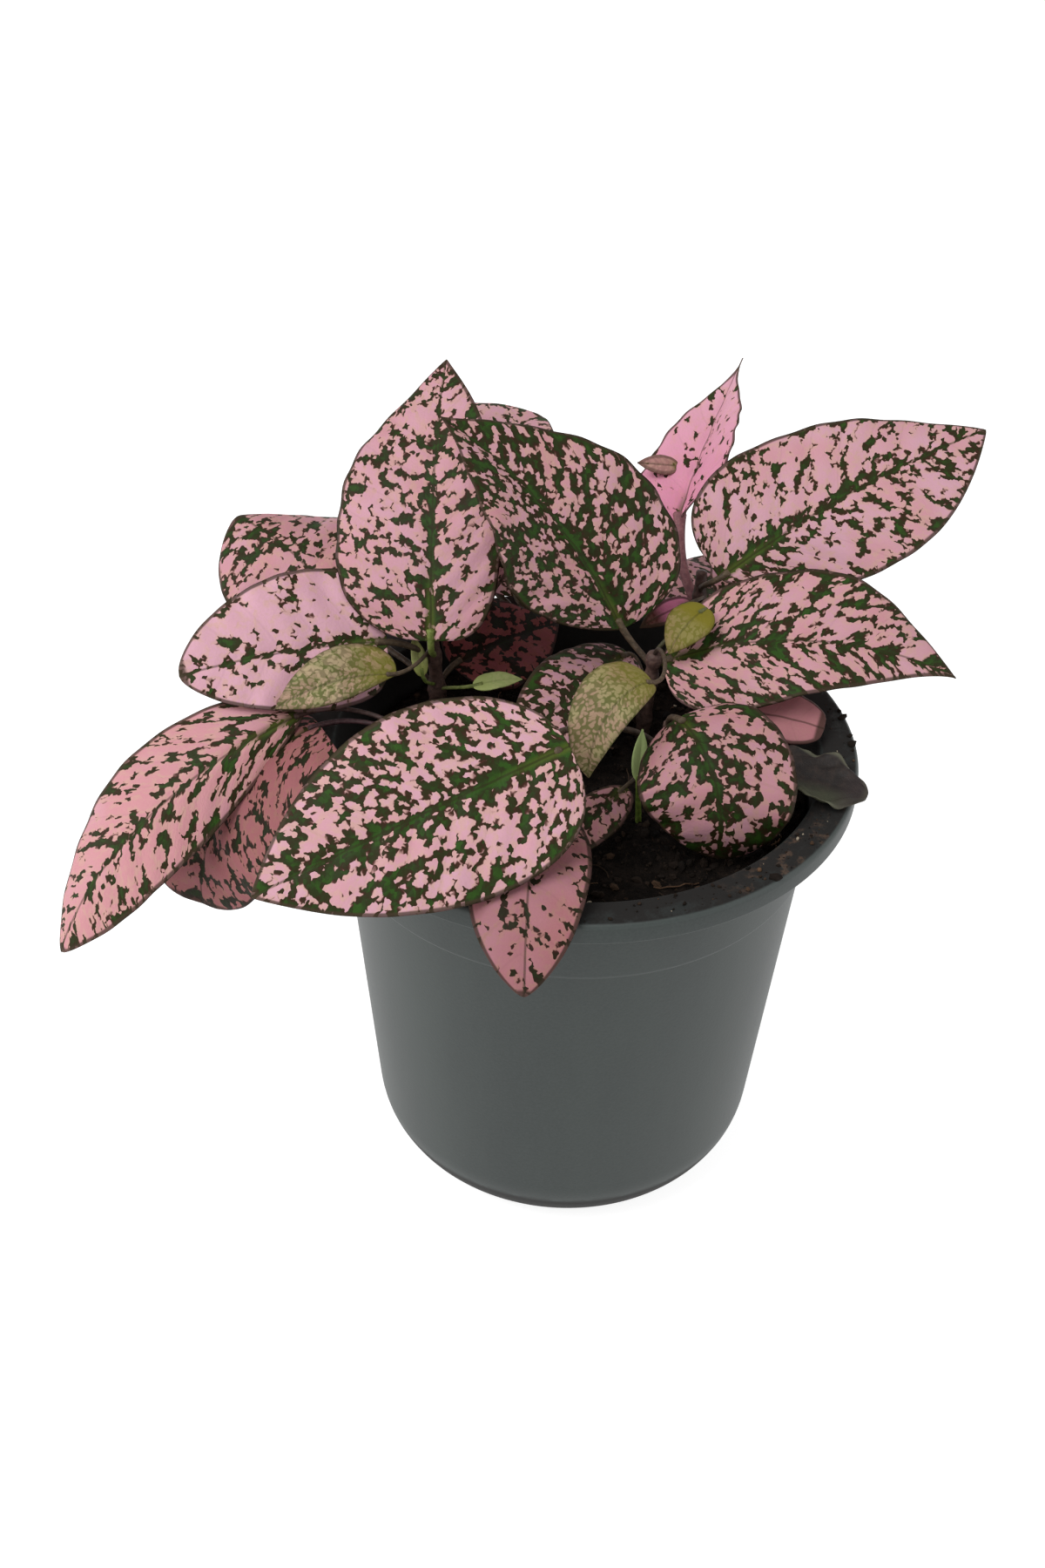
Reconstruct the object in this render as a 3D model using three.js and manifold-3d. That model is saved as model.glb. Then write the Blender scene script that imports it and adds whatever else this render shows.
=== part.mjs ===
// A potted polka dot plant in a round plastic nursery pot.
// Millimetres, +Z up, +Y away from the viewer. The origin is the middle of the pot's underside.

import * as THREE from 'three';
import { mergeVertices } from 'three/addons/utils/BufferGeometryUtils.js';
import Module from 'manifold-3d';

const wasm = await Module();
wasm.setup();

// Pot
const potHeight = 108;
const lipRadius = 60;
const lipSkirtBottom = 103.2;
const collarRadius = 53;
const collarBottom = 86.5;
const wallThickness = 1.2;
const potSides = 60;
const potOutline = [
  [0, 0], [12, 0], [13, 2], [26, 2], [27, 0], [30, 0],
  [35.5, 2.2], [40, 6.2], [43, 12],
  [50.4, collarBottom - 0.8], [51.3, collarBottom],
  [collarRadius, lipSkirtBottom], [collarRadius + 0.2, potHeight - 1.6],
  [lipRadius - wallThickness, potHeight - 1.6], [lipRadius - wallThickness, lipSkirtBottom],
  [lipRadius, lipSkirtBottom], [lipRadius, potHeight - 0.8], [lipRadius - 1, potHeight],
  [53, potHeight], [51.9, potHeight - 0.8],
  [49.2, collarBottom], [41.8, 12.6], [39.1, 7.6], [34.6, 3.9],
  [27, 3.4], [12.6, 3.4], [11.6, 1.4], [0, 1.4],
];

// Drain holes in the raised ring of the floor, each with a slot under the foot ring
const drainHoles = 8;
const drainHoleRadius = 3.5;
const drainCircle = 20;
const slotWidth = 7;
const slotHeight = 1.8;
const slotReach = 39;

// Soil
const clearance = 0.35;
const soilLevel = 99.6;
const soilEdgeLevel = 96.5;
const soilRings = 9;
const soilSides = 40;
const soilWall = [[0, 3.8], [34.2, 4.4], [38.6, 8.2], [41.3, 13], [48.7, 86.5]];

// Leaves and stems
const stemRadius = 1.6;
const leafstalkRadius = 0.8;
const tubeSides = 7;
const bladeThickness = 0.8;
const blunt = 0.6;

// Each shoot has its foot in the soil and its top, and its leaves.
// A leaf has the height at which its stalk leaves the stem, the place of the blade's base,
// the compass turn and rise of its midrib, its length and width, its roll about the midrib,
// and how far the midrib droops from base to tip. The rest shapes the blade.
// A stalk that must find its way round another leaf is drawn toward the point named by,
// and stalk is the radius of a thicker one.
const shoots = {
  shoot_left: {
    foot: [-30, 20, 80], top: [-32, 17, 124],
    leaves: [
      { stalkFrom: 116, at: [-32, 9.5, 126.5], turn: 89, rise: 41.5, long: 65, wide: 37.5, roll: 18,
        droop: 44, bend: -8, fold: 5, shoulder: 0.34, point: 0.62, drip: 0.71, skew: -0.21, twist: 12,
        uneven: -0.15 },
      { stalkFrom: 108, at: [-33.5, 34, 118.5], turn: 56.5, rise: 33.5, long: 61.5, wide: 42, roll: -6,
        droop: 109, fold: 10, shoulder: 0.53, point: 0.63, skew: -0.1, twist: -5, uneven: -0.2 },
      { stalkFrom: 110, at: [-41.5, 13, 123.8], turn: 194, rise: -4, long: 45, wide: 31.5, roll: 44,
        droop: 17, fold: 7, shoulder: 0.25, point: 0.55, drip: 0.2, skew: 0.12 },
      { stalkFrom: 104, at: [-52, 38, 114], turn: 133.5, rise: 9.5, long: 42, wide: 39, roll: 26.5,
        droop: 37, fold: -12, curl: 0.3, point: 0.47, drip: 0.1, skew: 0.07, twist: -39 },
      { stalkFrom: 118, at: [-39, 6, 120], turn: 203, rise: -4.5, long: 28, wide: 12.5, roll: 39,
        droop: 46, fold: 17, shoulder: 0.77, point: 0.84, skew: 0.2, uneven: -0.4 },
      { stalkFrom: 104, at: [-28, 24, 110.5], turn: 35, rise: 2, long: 29, wide: 25, roll: -20, droop: 20 },
      { stalkFrom: 106, at: [-23, 14, 112], turn: 10, rise: 5, long: 11, wide: 5, roll: -20, droop: 20,
        fold: 20 },
      { stalkFrom: 108, at: [-34, 13, 115], turn: 120, rise: 60, long: 9, wide: 4, droop: 20, fold: 20 },
    ],
  },
  shoot_centre: {
    foot: [14, 16, 80], top: [16, 14, 122],
    leaves: [
      { stalkFrom: 116, at: [9, 18.5, 125], turn: 162, rise: 46, long: 61.5, wide: 47.5, roll: 21,
        droop: 26.5, bend: 23.5, fold: 22.5, shoulder: 0.67, point: 1.05, twist: -19, uneven: -0.33 },
      { stalkFrom: 114, at: [17.5, 14, 120], turn: 3, rise: -4, long: 67.5, wide: 32.5, roll: -33.5,
        droop: 54, bend: 3, fold: 9, shoulder: 0.57, point: 1, skew: -0.06, uneven: -0.5 },
      { stalkFrom: 104, at: [11, 28, 112.5], turn: 237.5, rise: 1.5, long: 45, wide: 22.5, roll: 19,
        droop: 16, fold: 7, point: 0.65, skew: -0.1 },
      { stalkFrom: 120, at: [14.5, -11.5, 132], turn: 230, rise: -34, long: 30.5, wide: 13, roll: 21.5,
        droop: 136, fold: 9, skew: 0.3, uneven: -0.1 },
      { stalkFrom: 121, at: [27, 19, 130.8], turn: 225, rise: -30, long: 14, wide: 10.2, roll: 10,
        droop: 60, fold: 10 },
    ],
  },
  shoot_right: {
    foot: [26, 38, 80], top: [27, 41, 126],
    leaves: [
      { stalkFrom: 120, at: [30.5, 34.5, 128.5], turn: 34.5, rise: 11.5, long: 77.5, wide: 40,
        roll: -32.5, droop: 16, bend: -4, fold: 2.5, shoulder: 0.54, point: 0.75, skew: -0.05,
        twist: 22, uneven: 0.42 },
      { stalkFrom: 113, by: [21.6, 46, 119], stalk: 1.4, at: [22, 58.5, 128], turn: 65.5, rise: 34,
        long: 45, wide: 30.5, roll: 28, droop: -26.5, bend: -19, fold: 30.5, shoulder: 0.78,
        point: 1.3, drip: 1, skew: 0.1, uneven: 0.35 },
      { stalkFrom: 116, at: [24.5, 30, 125], turn: 200, rise: -20, long: 13, wide: 6, roll: 30, droop: 20,
        fold: 10 },
      { at: [22.5, 73.3, 134.3], turn: 196, rise: 12, long: 10.5, wide: 5, roll: 40, fold: 10 },
      { stalkFrom: 110, at: [34, 47, 114], turn: 44, rise: -2, long: 44, wide: 28, droop: 50 },
      { stalkFrom: 106, at: [27, 43, 111.5], turn: 78, rise: -6, long: 38, wide: 27, droop: 12 },
    ],
  },
  shoot_front_left: {
    foot: [-24, -6, 80], top: [-28, -9, 108],
    leaves: [
      { stalkFrom: 102, at: [-8.5, -26.8, 110], turn: 268, rise: -36, long: 50, wide: 24.5, roll: -4,
        droop: 100, late: 2, bend: 4, fold: 6, shoulder: 0.54, point: 0.62, uneven: 0.15 },
      { stalkFrom: 104, at: [-58.5, 1.7, 112.6], turn: 208, rise: -37, long: 78.5, wide: 26, roll: 30.5,
        droop: 68, bend: -17, fold: -7.5, shoulder: 0.65, point: 0.6, skew: 0.07, twist: -23.5,
        uneven: -0.2 },
      { stalkFrom: 102, at: [-55.2, -0.3, 111], turn: 213, rise: -52.5, long: 52.5, wide: 38, roll: 5,
        droop: 80, bend: 17, fold: 8.5, shoulder: 0.25, point: 0.32, drip: 0, skew: -0.08, twist: 33.5,
        uneven: 0.6 },
    ],
  },
  shoot_front_right: {
    foot: [17, -4, 80], top: [19, -3, 116],
    leaves: [
      { stalkFrom: 104, by: [-14, -16, 124], at: [-2.5, -34.5, 132.5], turn: 204.5, rise: -15,
        long: 69, wide: 41.5, roll: 41, droop: 7.5, bend: -6, fold: 6.5, shoulder: 0.45,
        point: 0.75, uneven: 0.2 },
      { stalkFrom: 112, at: [20, -11, 123], turn: 295, rise: -49.5, long: 38, wide: 32.5, roll: -20.5,
        droop: 135, bend: -3, fold: 1, shoulder: 0.42, point: 0.51, drip: 0, skew: -0.04, twist: -10 },
      { stalkFrom: 106, at: [30.5, 8.5, 111.5], turn: 347, rise: -1.5, long: 23, wide: 13.5, roll: -20,
        droop: 22, fold: 7, point: 0.35, drip: 0, skew: -0.07 },
      { stalkFrom: 104, at: [10, -15, 108], turn: 233.5, rise: -13, long: 26.5, wide: 11, roll: 13,
        droop: 19, fold: 7, shoulder: 0.58, uneven: 0.2 },
      { stalkFrom: 102.5, at: [37, -8, 108.5], turn: 339, rise: 0, long: 25, wide: 16.5, droop: 17.5,
        fold: 5, curl: -0.1, shoulder: 0.62, point: 0.4, drip: 0.3, uneven: 0.6 },
    ],
  },
  shoot_back: {
    foot: [-8, 42, 80], top: [-10, 46, 116],
    leaves: [
      { stalkFrom: 108, at: [-14.5, 48, 113.5], turn: 95, rise: 4, long: 56, wide: 32, droop: 50 },
      { stalkFrom: 104, at: [-2, 52, 112], turn: 68, rise: -6, long: 42, wide: 28, droop: 40 },
      { stalkFrom: 103, at: [-19, 52, 112], turn: 128, rise: -2, long: 46, wide: 30, droop: 40 },
    ],
  },
  seedling: {
    foot: [13.4, -15.3, 86], top: [12.5, -15, 110.5], radius: 0.7,
    leaves: [
      { at: [12.5, -15, 109.5], turn: 84, rise: 60, long: 11, wide: 3.6, droop: 12, fold: 20 },
    ],
  },
};

const degrees = Math.PI / 180;

// Geometry to solid and back

function solidOf(geometry) {
  geometry.deleteAttribute('normal');
  geometry.deleteAttribute('uv');
  const merged = mergeVertices(geometry, 1e-4);
  const solid = new wasm.Manifold(new wasm.Mesh({
    numProp: 3,
    vertProperties: new Float32Array(merged.attributes.position.array),
    triVerts: new Uint32Array(merged.index.array),
  }));
  return solid;
}

function geometryOf(solid) {
  const mesh = solid.getMesh();
  const geometry = new THREE.BufferGeometry();
  geometry.setAttribute('position', new THREE.BufferAttribute(mesh.vertProperties, 3));
  geometry.setIndex(new THREE.BufferAttribute(mesh.triVerts, 1));
  geometry.computeVertexNormals();
  return geometry;
}

function union(solids) {
  return solids.reduce((whole, solid) => whole.add(solid));
}

function turned(outline, sides) {
  const profile = outline.map(([radius, height]) => new THREE.Vector2(radius, height));
  return new THREE.LatheGeometry(profile, sides).rotateX(Math.PI / 2);
}

// A tube with closed ends along a curve
function tube(curve, radius, steps) {
  const rim = [];
  for (let side = 0; side < tubeSides; side += 1) {
    const angle = 2 * Math.PI * side / tubeSides;
    rim.push(new THREE.Vector2(radius * Math.cos(angle), radius * Math.sin(angle)));
  }
  const section = new THREE.Shape(rim);
  return new THREE.ExtrudeGeometry(section, { steps, bevelEnabled: false, extrudePath: curve });
}

// Pot

function potGeometry() {
  let pot = solidOf(turned(potOutline, potSides));
  for (let hole = 0; hole < drainHoles; hole += 1) {
    const angle = 360 * (hole + 0.5) / drainHoles * degrees;
    const bore = new THREE.CylinderGeometry(drainHoleRadius, drainHoleRadius, 10, 20);
    bore.rotateX(Math.PI / 2).translate(drainCircle, 0, 0).rotateZ(angle);
    const slotLength = slotReach - drainCircle;
    const slot = new THREE.BoxGeometry(slotLength, slotWidth, 2 * slotHeight);
    slot.translate(drainCircle + slotLength / 2, 0, 0).rotateZ(angle);
    pot = pot.subtract(solidOf(bore)).subtract(solidOf(slot));
  }
  return geometryOf(pot);
}

// Soil: its top is higher in the middle, with low heaps

function heaps(x, y) {
  return 0.5 * Math.sin(0.21 * x + 1.1) * Math.cos(0.17 * y - 0.4) + 0.35 * Math.sin(0.37 * y + 0.23 * x);
}

function soilGeometry() {
  const edgeRadius = 49.6;
  const top = [];
  for (let ring = 0; ring <= soilRings; ring += 1) {
    const share = 1 - ring / soilRings;
    top.push([edgeRadius * share, soilEdgeLevel + (soilLevel - soilEdgeLevel) * (1 - share * share)]);
  }
  const geometry = turned([...soilWall, ...top], soilSides);
  const place = geometry.attributes.position;
  for (let corner = 0; corner < place.count; corner += 1) {
    const x = place.getX(corner);
    const y = place.getY(corner);
    const z = place.getZ(corner);
    const inside = 1 - Math.hypot(x, y) / edgeRadius;
    if (z > soilEdgeLevel - 1 && inside > 0.02) {
      place.setZ(corner, z + heaps(x, y) * Math.min(1, 4 * inside));
    }
  }
  let soil = solidOf(geometry);
  for (const shoot of Object.values(shoots)) {
    const hole = tube(stemCurve(shoot, clearance), (shoot.radius ?? stemRadius) + clearance, 10);
    soil = soil.subtract(solidOf(hole));
  }
  return geometryOf(soil);
}

// Stems and leafstalks

function stemCurve(shoot, deeper = 0) {
  const foot = new THREE.Vector3(...shoot.foot);
  const top = new THREE.Vector3(...shoot.top);
  const lean = top.clone().sub(foot);
  foot.z -= deeper;
  const low = foot.clone();
  low.z += 0.45 * lean.z;
  const high = top.clone().addScaledVector(lean, -0.25);
  return new THREE.CubicBezierCurve3(foot, low, high, top);
}

function stemPlace(curve, height) {
  let low = 0;
  let high = 1;
  for (let halving = 0; halving < 20; halving += 1) {
    const middle = (low + high) / 2;
    if (curve.getPoint(middle).z < height) {
      low = middle;
    } else {
      high = middle;
    }
  }
  return (low + high) / 2;
}

function leafstalkCurve(shoot, leaf) {
  const stem = stemCurve(shoot);
  const along = stemPlace(stem, leaf.stalkFrom);
  const start = stem.getPoint(along);
  const base = new THREE.Vector3(...leaf.at);
  const reach = start.distanceTo(base);
  const { forward } = midribFrame(leaf, 0);
  const leaving = start.clone().addScaledVector(stem.getTangent(along), 0.35 * reach);
  const arriving = leaf.by ? new THREE.Vector3(...leaf.by)
    : base.clone().addScaledVector(forward, -0.4 * reach);
  const end = base.clone().addScaledVector(forward, Math.min(2.5, 0.2 * leaf.long));
  return new THREE.CubicBezierCurve3(start, leaving, arriving, end);
}

// Leaf blades

// Directions at a share of the midrib: forward along it, across it, and out of the upper face
function midribFrame(leaf, share) {
  const rise = (leaf.rise + (leaf.droop ?? 0) * (0.5 - share ** (leaf.late ?? 1))) * degrees;
  const turn = (leaf.turn + (leaf.bend ?? 0) * (share - 0.5)) * degrees;
  const roll = ((leaf.roll ?? 0) + (leaf.twist ?? 0) * (share - 0.5)) * degrees;
  const forward = new THREE.Vector3(
    Math.cos(rise) * Math.cos(turn), Math.cos(rise) * Math.sin(turn), Math.sin(rise));
  const level = new THREE.Vector3(Math.sin(turn), -Math.cos(turn), 0);
  const above = level.clone().cross(forward);
  const across = level.clone().multiplyScalar(Math.cos(roll)).addScaledVector(above, Math.sin(roll));
  const face = level.clone().multiplyScalar(-Math.sin(roll)).addScaledVector(above, Math.cos(roll));
  return { forward, across, face };
}

// Half the blade's width on one side of the midrib, -1 or 1: round at the base, pointed with a
// drip tip at the end. An uneven blade is rounder at the base on one side.
function halfWidth(leaf, share, side) {
  const shoulder = (leaf.shoulder ?? 0.5) * (1 + (leaf.uneven ?? 0) * side);
  const point = leaf.point ?? 0.8;
  const widest = shoulder / (shoulder + point);
  const outline = share ** shoulder * (1 - share) ** point;
  const fullest = widest ** shoulder * (1 - widest) ** point;
  const tip = 1 - (leaf.drip ?? 0.4) * share ** 8;
  return Math.max(leaf.wide / 2 * outline / fullest * tip, blunt);
}

// The points of the blade's middle surface, row by row from base to tip
function bladeSurface(leaf, rows, columns) {
  const fine = 60;
  const midrib = [new THREE.Vector3(...leaf.at)];
  for (let step = 0; step < fine; step += 1) {
    const { forward } = midribFrame(leaf, (step + 0.5) / fine);
    midrib.push(midrib[step].clone().addScaledVector(forward, leaf.long / fine));
  }
  const fold = (leaf.fold ?? 8) * degrees;
  const curl = leaf.curl ?? 0.15;
  const surface = [];
  for (let row = 0; row <= rows; row += 1) {
    const share = row / rows;
    const before = Math.min(fine - 1, Math.floor(share * fine));
    const centre = midrib[before].clone().lerp(midrib[before + 1], share * fine - before);
    const { across, face } = midribFrame(leaf, share);
    const points = [];
    for (let column = 0; column <= columns; column += 1) {
      const side = 2 * column / columns - 1;
      const half = halfWidth(leaf, share, Math.sign(side)) * (1 + (leaf.skew ?? 0) * Math.sign(side));
      const wave = 0.05 * Math.sin(4 * Math.PI * share + (side > 0 ? 1.8 : 0));
      const out = side * half * Math.cos(fold);
      const lift = half * (Math.abs(side) * Math.sin(fold) + side * side * (wave - curl));
      points.push(centre.clone().addScaledVector(across, out).addScaledVector(face, lift));
    }
    surface.push(points);
  }
  return surface;
}

function bladeGeometry(leaf) {
  const small = leaf.wide < 16;
  const rows = small ? 6 : 9;
  const columns = small ? 2 : 4;
  const middle = bladeSurface(leaf, rows, columns);
  const width = columns + 1;
  const layer = (rows + 1) * width;
  const positions = new Float32Array(2 * layer * 3);
  for (let row = 0; row <= rows; row += 1) {
    for (let column = 0; column <= columns; column += 1) {
      const lengthwise = middle[Math.min(row + 1, rows)][column].clone()
        .sub(middle[Math.max(row - 1, 0)][column]);
      const sideways = middle[row][Math.min(column + 1, columns)].clone()
        .sub(middle[row][Math.max(column - 1, 0)]);
      const normal = sideways.cross(lengthwise).normalize();
      const corner = row * width + column;
      const point = middle[row][column];
      point.clone().addScaledVector(normal, bladeThickness / 2).toArray(positions, 3 * corner);
      point.clone().addScaledVector(normal, -bladeThickness / 2).toArray(positions, 3 * (corner + layer));
    }
  }
  const faces = [];
  for (let row = 0; row < rows; row += 1) {
    for (let column = 0; column < columns; column += 1) {
      const a = row * width + column;
      const b = a + width;
      const c = b + 1;
      const d = a + 1;
      faces.push(a, c, b, a, d, c);
      faces.push(a + layer, b + layer, c + layer, a + layer, c + layer, d + layer);
    }
  }
  const rim = [];
  for (let row = 0; row < rows; row += 1) rim.push(row * width);
  for (let column = 0; column < columns; column += 1) rim.push(rows * width + column);
  for (let row = rows; row > 0; row -= 1) rim.push(row * width + columns);
  for (let column = columns; column > 0; column -= 1) rim.push(column);
  rim.forEach((here, index) => {
    const next = rim[(index + 1) % rim.length];
    faces.push(here, next, next + layer, here, next + layer, here + layer);
  });
  const geometry = new THREE.BufferGeometry();
  geometry.setAttribute('position', new THREE.BufferAttribute(positions, 3));
  geometry.setIndex(faces);
  return geometry;
}

function shootGeometry(shoot) {
  const pieces = [solidOf(tube(stemCurve(shoot), shoot.radius ?? stemRadius, 8))];
  for (const leaf of shoot.leaves) {
    pieces.push(solidOf(bladeGeometry(leaf)));
    if (leaf.stalkFrom) {
      pieces.push(solidOf(tube(leafstalkCurve(shoot, leaf), leaf.stalk ?? leafstalkRadius, 7)));
    }
  }
  return geometryOf(union(pieces));
}

// Assembly

const plastic = new THREE.MeshStandardMaterial({ color: 0x565d5d, roughness: 0.55, metalness: 0 });
const peat = new THREE.MeshStandardMaterial({ color: 0x231d1a, roughness: 1, metalness: 0 });
const leafPink = new THREE.MeshStandardMaterial({ color: 0xd79aa6, roughness: 0.6, metalness: 0 });
const leafPale = new THREE.MeshStandardMaterial({ color: 0x9fb07a, roughness: 0.6, metalness: 0 });

function named(name, geometry, material) {
  const mesh = new THREE.Mesh(geometry, material);
  mesh.name = name;
  return mesh;
}

const plant = new THREE.Group();
for (const [name, shoot] of Object.entries(shoots)) {
  plant.add(named(name, shootGeometry(shoot), name === 'seedling' ? leafPale : leafPink));
}

const pottedPlant = new THREE.Group();
pottedPlant.add(named('pot', potGeometry(), plastic));
pottedPlant.add(named('soil', soilGeometry(), peat));
pottedPlant.add(plant);

export default pottedPlant;
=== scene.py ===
# Potted polka dot plant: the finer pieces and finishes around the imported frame.
# Shapes are worked out in millimetres and put into the meshes in metres.

import bpy
import numpy as np
from mathutils import Matrix


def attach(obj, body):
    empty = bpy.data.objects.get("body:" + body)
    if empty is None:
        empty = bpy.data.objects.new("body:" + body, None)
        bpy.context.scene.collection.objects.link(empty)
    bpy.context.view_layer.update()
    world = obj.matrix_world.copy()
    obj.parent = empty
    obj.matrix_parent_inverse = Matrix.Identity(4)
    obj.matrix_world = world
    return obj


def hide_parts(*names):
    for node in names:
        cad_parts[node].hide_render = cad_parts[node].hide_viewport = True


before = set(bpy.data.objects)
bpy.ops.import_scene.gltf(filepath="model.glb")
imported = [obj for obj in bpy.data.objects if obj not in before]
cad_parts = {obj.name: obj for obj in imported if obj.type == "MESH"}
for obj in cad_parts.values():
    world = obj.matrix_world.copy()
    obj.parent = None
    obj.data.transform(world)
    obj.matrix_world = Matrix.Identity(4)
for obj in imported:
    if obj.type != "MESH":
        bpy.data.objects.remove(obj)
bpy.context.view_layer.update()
print("frame loaded with", len(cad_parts), "nodes")

metresPerMm = 0.001
imageSize = (1200, 1800)

camera = dict(
    target=(-11.6, 0.0, 96.4),  # mm, the point that the lens looks at
    elevation=37.4,             # degrees above the horizon
    roll=1.66,                  # degrees about the line of sight
    distance=520.0,             # mm from the target
    focal=2752.0,               # pixels of the 1200 x 1800 image
)


# Colour from the 0 to 255 values that a screen shows
def screen(red, green, blue):
    share = np.array([red, green, blue]) / 255
    linear = np.where(share <= 0.04045, share / 12.92, ((share + 0.055) / 1.055) ** 2.4)
    return tuple(float(value) for value in linear) + (1.0,)


# A shader socket that adds Math nodes when it is used in an expression
class Wire:
    def __init__(self, finish, socket):
        self.finish = finish
        self.socket = socket

    def math(self, operation, *others):
        settings = {"operation": operation}
        return self.finish.node("Math", settings, dict(enumerate((self, *others))))

    def __add__(self, other):
        return self.math("ADD", other)

    def __sub__(self, other):
        return self.math("SUBTRACT", other)

    def __rsub__(self, other):
        return self.finish.node("Math", {"operation": "SUBTRACT"}, {0: other, 1: self})

    def __mul__(self, other):
        return self.math("MULTIPLY", other)

    def __truediv__(self, other):
        return self.math("DIVIDE", other)

    __radd__ = __add__
    __rmul__ = __mul__


# A material on one Principled shader, whose nodes are added by the expressions that need them
class Finish:
    def __init__(self, name, **uniform):
        self.material = bpy.data.materials.new(name)
        self.material.use_nodes = True
        self.tree = self.material.node_tree
        self.tree.nodes.clear()
        self.shader = self.tree.nodes.new("ShaderNodeBsdfPrincipled")
        output = self.tree.nodes.new("ShaderNodeOutputMaterial")
        self.tree.links.new(self.shader.outputs[0], output.inputs[0])
        for socket, value in uniform.items():
            self.shader.inputs[socket.replace("_", " ")].default_value = value

    # Any other shader node: its type, its settings, then the values or links of its sockets
    def node(self, kind, settings=None, sockets=None, output=0):
        made = self.tree.nodes.new("ShaderNode" + kind)
        for setting, value in (settings or {}).items():
            setattr(made, setting, value)
        for socket, value in (sockets or {}).items():
            if isinstance(value, Wire):
                self.tree.links.new(value.socket, made.inputs[socket])
            else:
                made.inputs[socket].default_value = value
        return Wire(self, made.outputs[output])

    # Colours along a value: each stop is a place and a colour, the first at 0
    def ramp(self, value, *stops):
        made = self.node("ValToRGB", {}, {0: value})
        elements = made.socket.node.color_ramp.elements
        elements.remove(elements[-1])
        elements[0].color = stops[0][1]
        for place, colour in stops[1:]:
            elements.new(place).color = colour
        return made

    def feed(self, socket, wire):
        self.tree.links.new(wire.socket, self.shader.inputs[socket])

    def read(self, attribute):
        return self.node("Attribute", {"attribute_name": attribute}, output="Vector")

    def objectPlace(self):
        place = self.node("TexCoord", output="Object")
        return self.stretch(place, 1 / metresPerMm)

    def parts(self, vector):
        split = self.node("SeparateXYZ", {}, {0: vector})
        return [Wire(self, socket) for socket in split.socket.node.outputs]

    def join(self, x, y, z):
        return self.node("CombineXYZ", {}, {0: x, 1: y, 2: z})

    def vector(self, operation, *vectors):
        return self.node("VectorMath", {"operation": operation}, dict(enumerate(vectors)))

    def stretch(self, vector, amount):
        return self.node("VectorMath", {"operation": "SCALE"}, {0: vector, "Scale": amount})

    def between(self, share, first, second):
        settings = {"data_type": "VECTOR"}
        return self.node("Mix", settings, {0: share, 4: first, 5: second}, output=1)

    def blend(self, share, first, second, mode="MIX"):
        settings = {"data_type": "RGBA", "blend_type": mode}
        return self.node("Mix", settings, {0: share, 6: first, 7: second}, output=2)

    def ease(self, value, low, high):
        sockets = {"Value": value, "From Min": low, "From Max": high}
        return self.node("MapRange", {"interpolation_type": "SMOOTHSTEP"}, sockets)

    def noise(self, vector, scale, detail=2.0, roughness=0.5, output="Fac"):
        sockets = {"Vector": vector, "Scale": scale, "Detail": detail, "Roughness": roughness}
        return self.node("TexNoise", {}, sockets, output)

    def cells(self, vector, scale):
        return self.node("TexVoronoi", {}, {"Vector": vector, "Scale": scale}, "Position")

    # Distance to the nearest of the points strewn over the leaf, rounded where two are as near
    def dots(self, vector, scale):
        settings = {"feature": "SMOOTH_F1", "voronoi_dimensions": "2D"}
        sockets = {"Vector": vector, "Scale": scale, "Smoothness": 0.25}
        return self.node("TexVoronoi", settings, sockets, "Distance")

    # The end of a finish: its colour, its bumps (distance in metres) and a roughness that varies
    def done(self, colour, height, strength, distance, rough=None):
        sockets = {"Height": height, "Strength": strength, "Distance": distance}
        self.feed("Base Color", colour)
        self.feed("Normal", self.node("Bump", {}, sockets))
        if rough is not None:
            self.feed("Roughness", rough)
        return self.material


# Finishes

hues = {name: screen(*values) for name, values in dict(
    lilac=(198, 152, 167),
    salmon=(194, 136, 143),
    hot=(228, 132, 172),
    beige=(192, 154, 140),
    maroon=(84, 42, 38),
    bark=(50, 32, 18),
    olive=(42, 40, 15),
    green=(38, 50, 18),
    brightGreen=(42, 72, 20),
    margin=(58, 46, 32),
    youngPale=(156, 148, 106),
    youngPink=(164, 132, 114),
    youngGreen=(76, 88, 30),
    golden=(122, 116, 36),
    bud=(158, 176, 116),
    underside=(150, 112, 104),
    shade=(150, 108, 106),
).items()}

leafPattern = dict(
    cells=1.1, pull=0.7,             # angular cells for each mm, and how far they pull the pattern
    dots=0.4, specks=0.95, net=1.1,  # points for each mm, large and small, and of a young leaf's net
    usual=0.42,                      # usual distance from the nearest point
)


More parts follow.
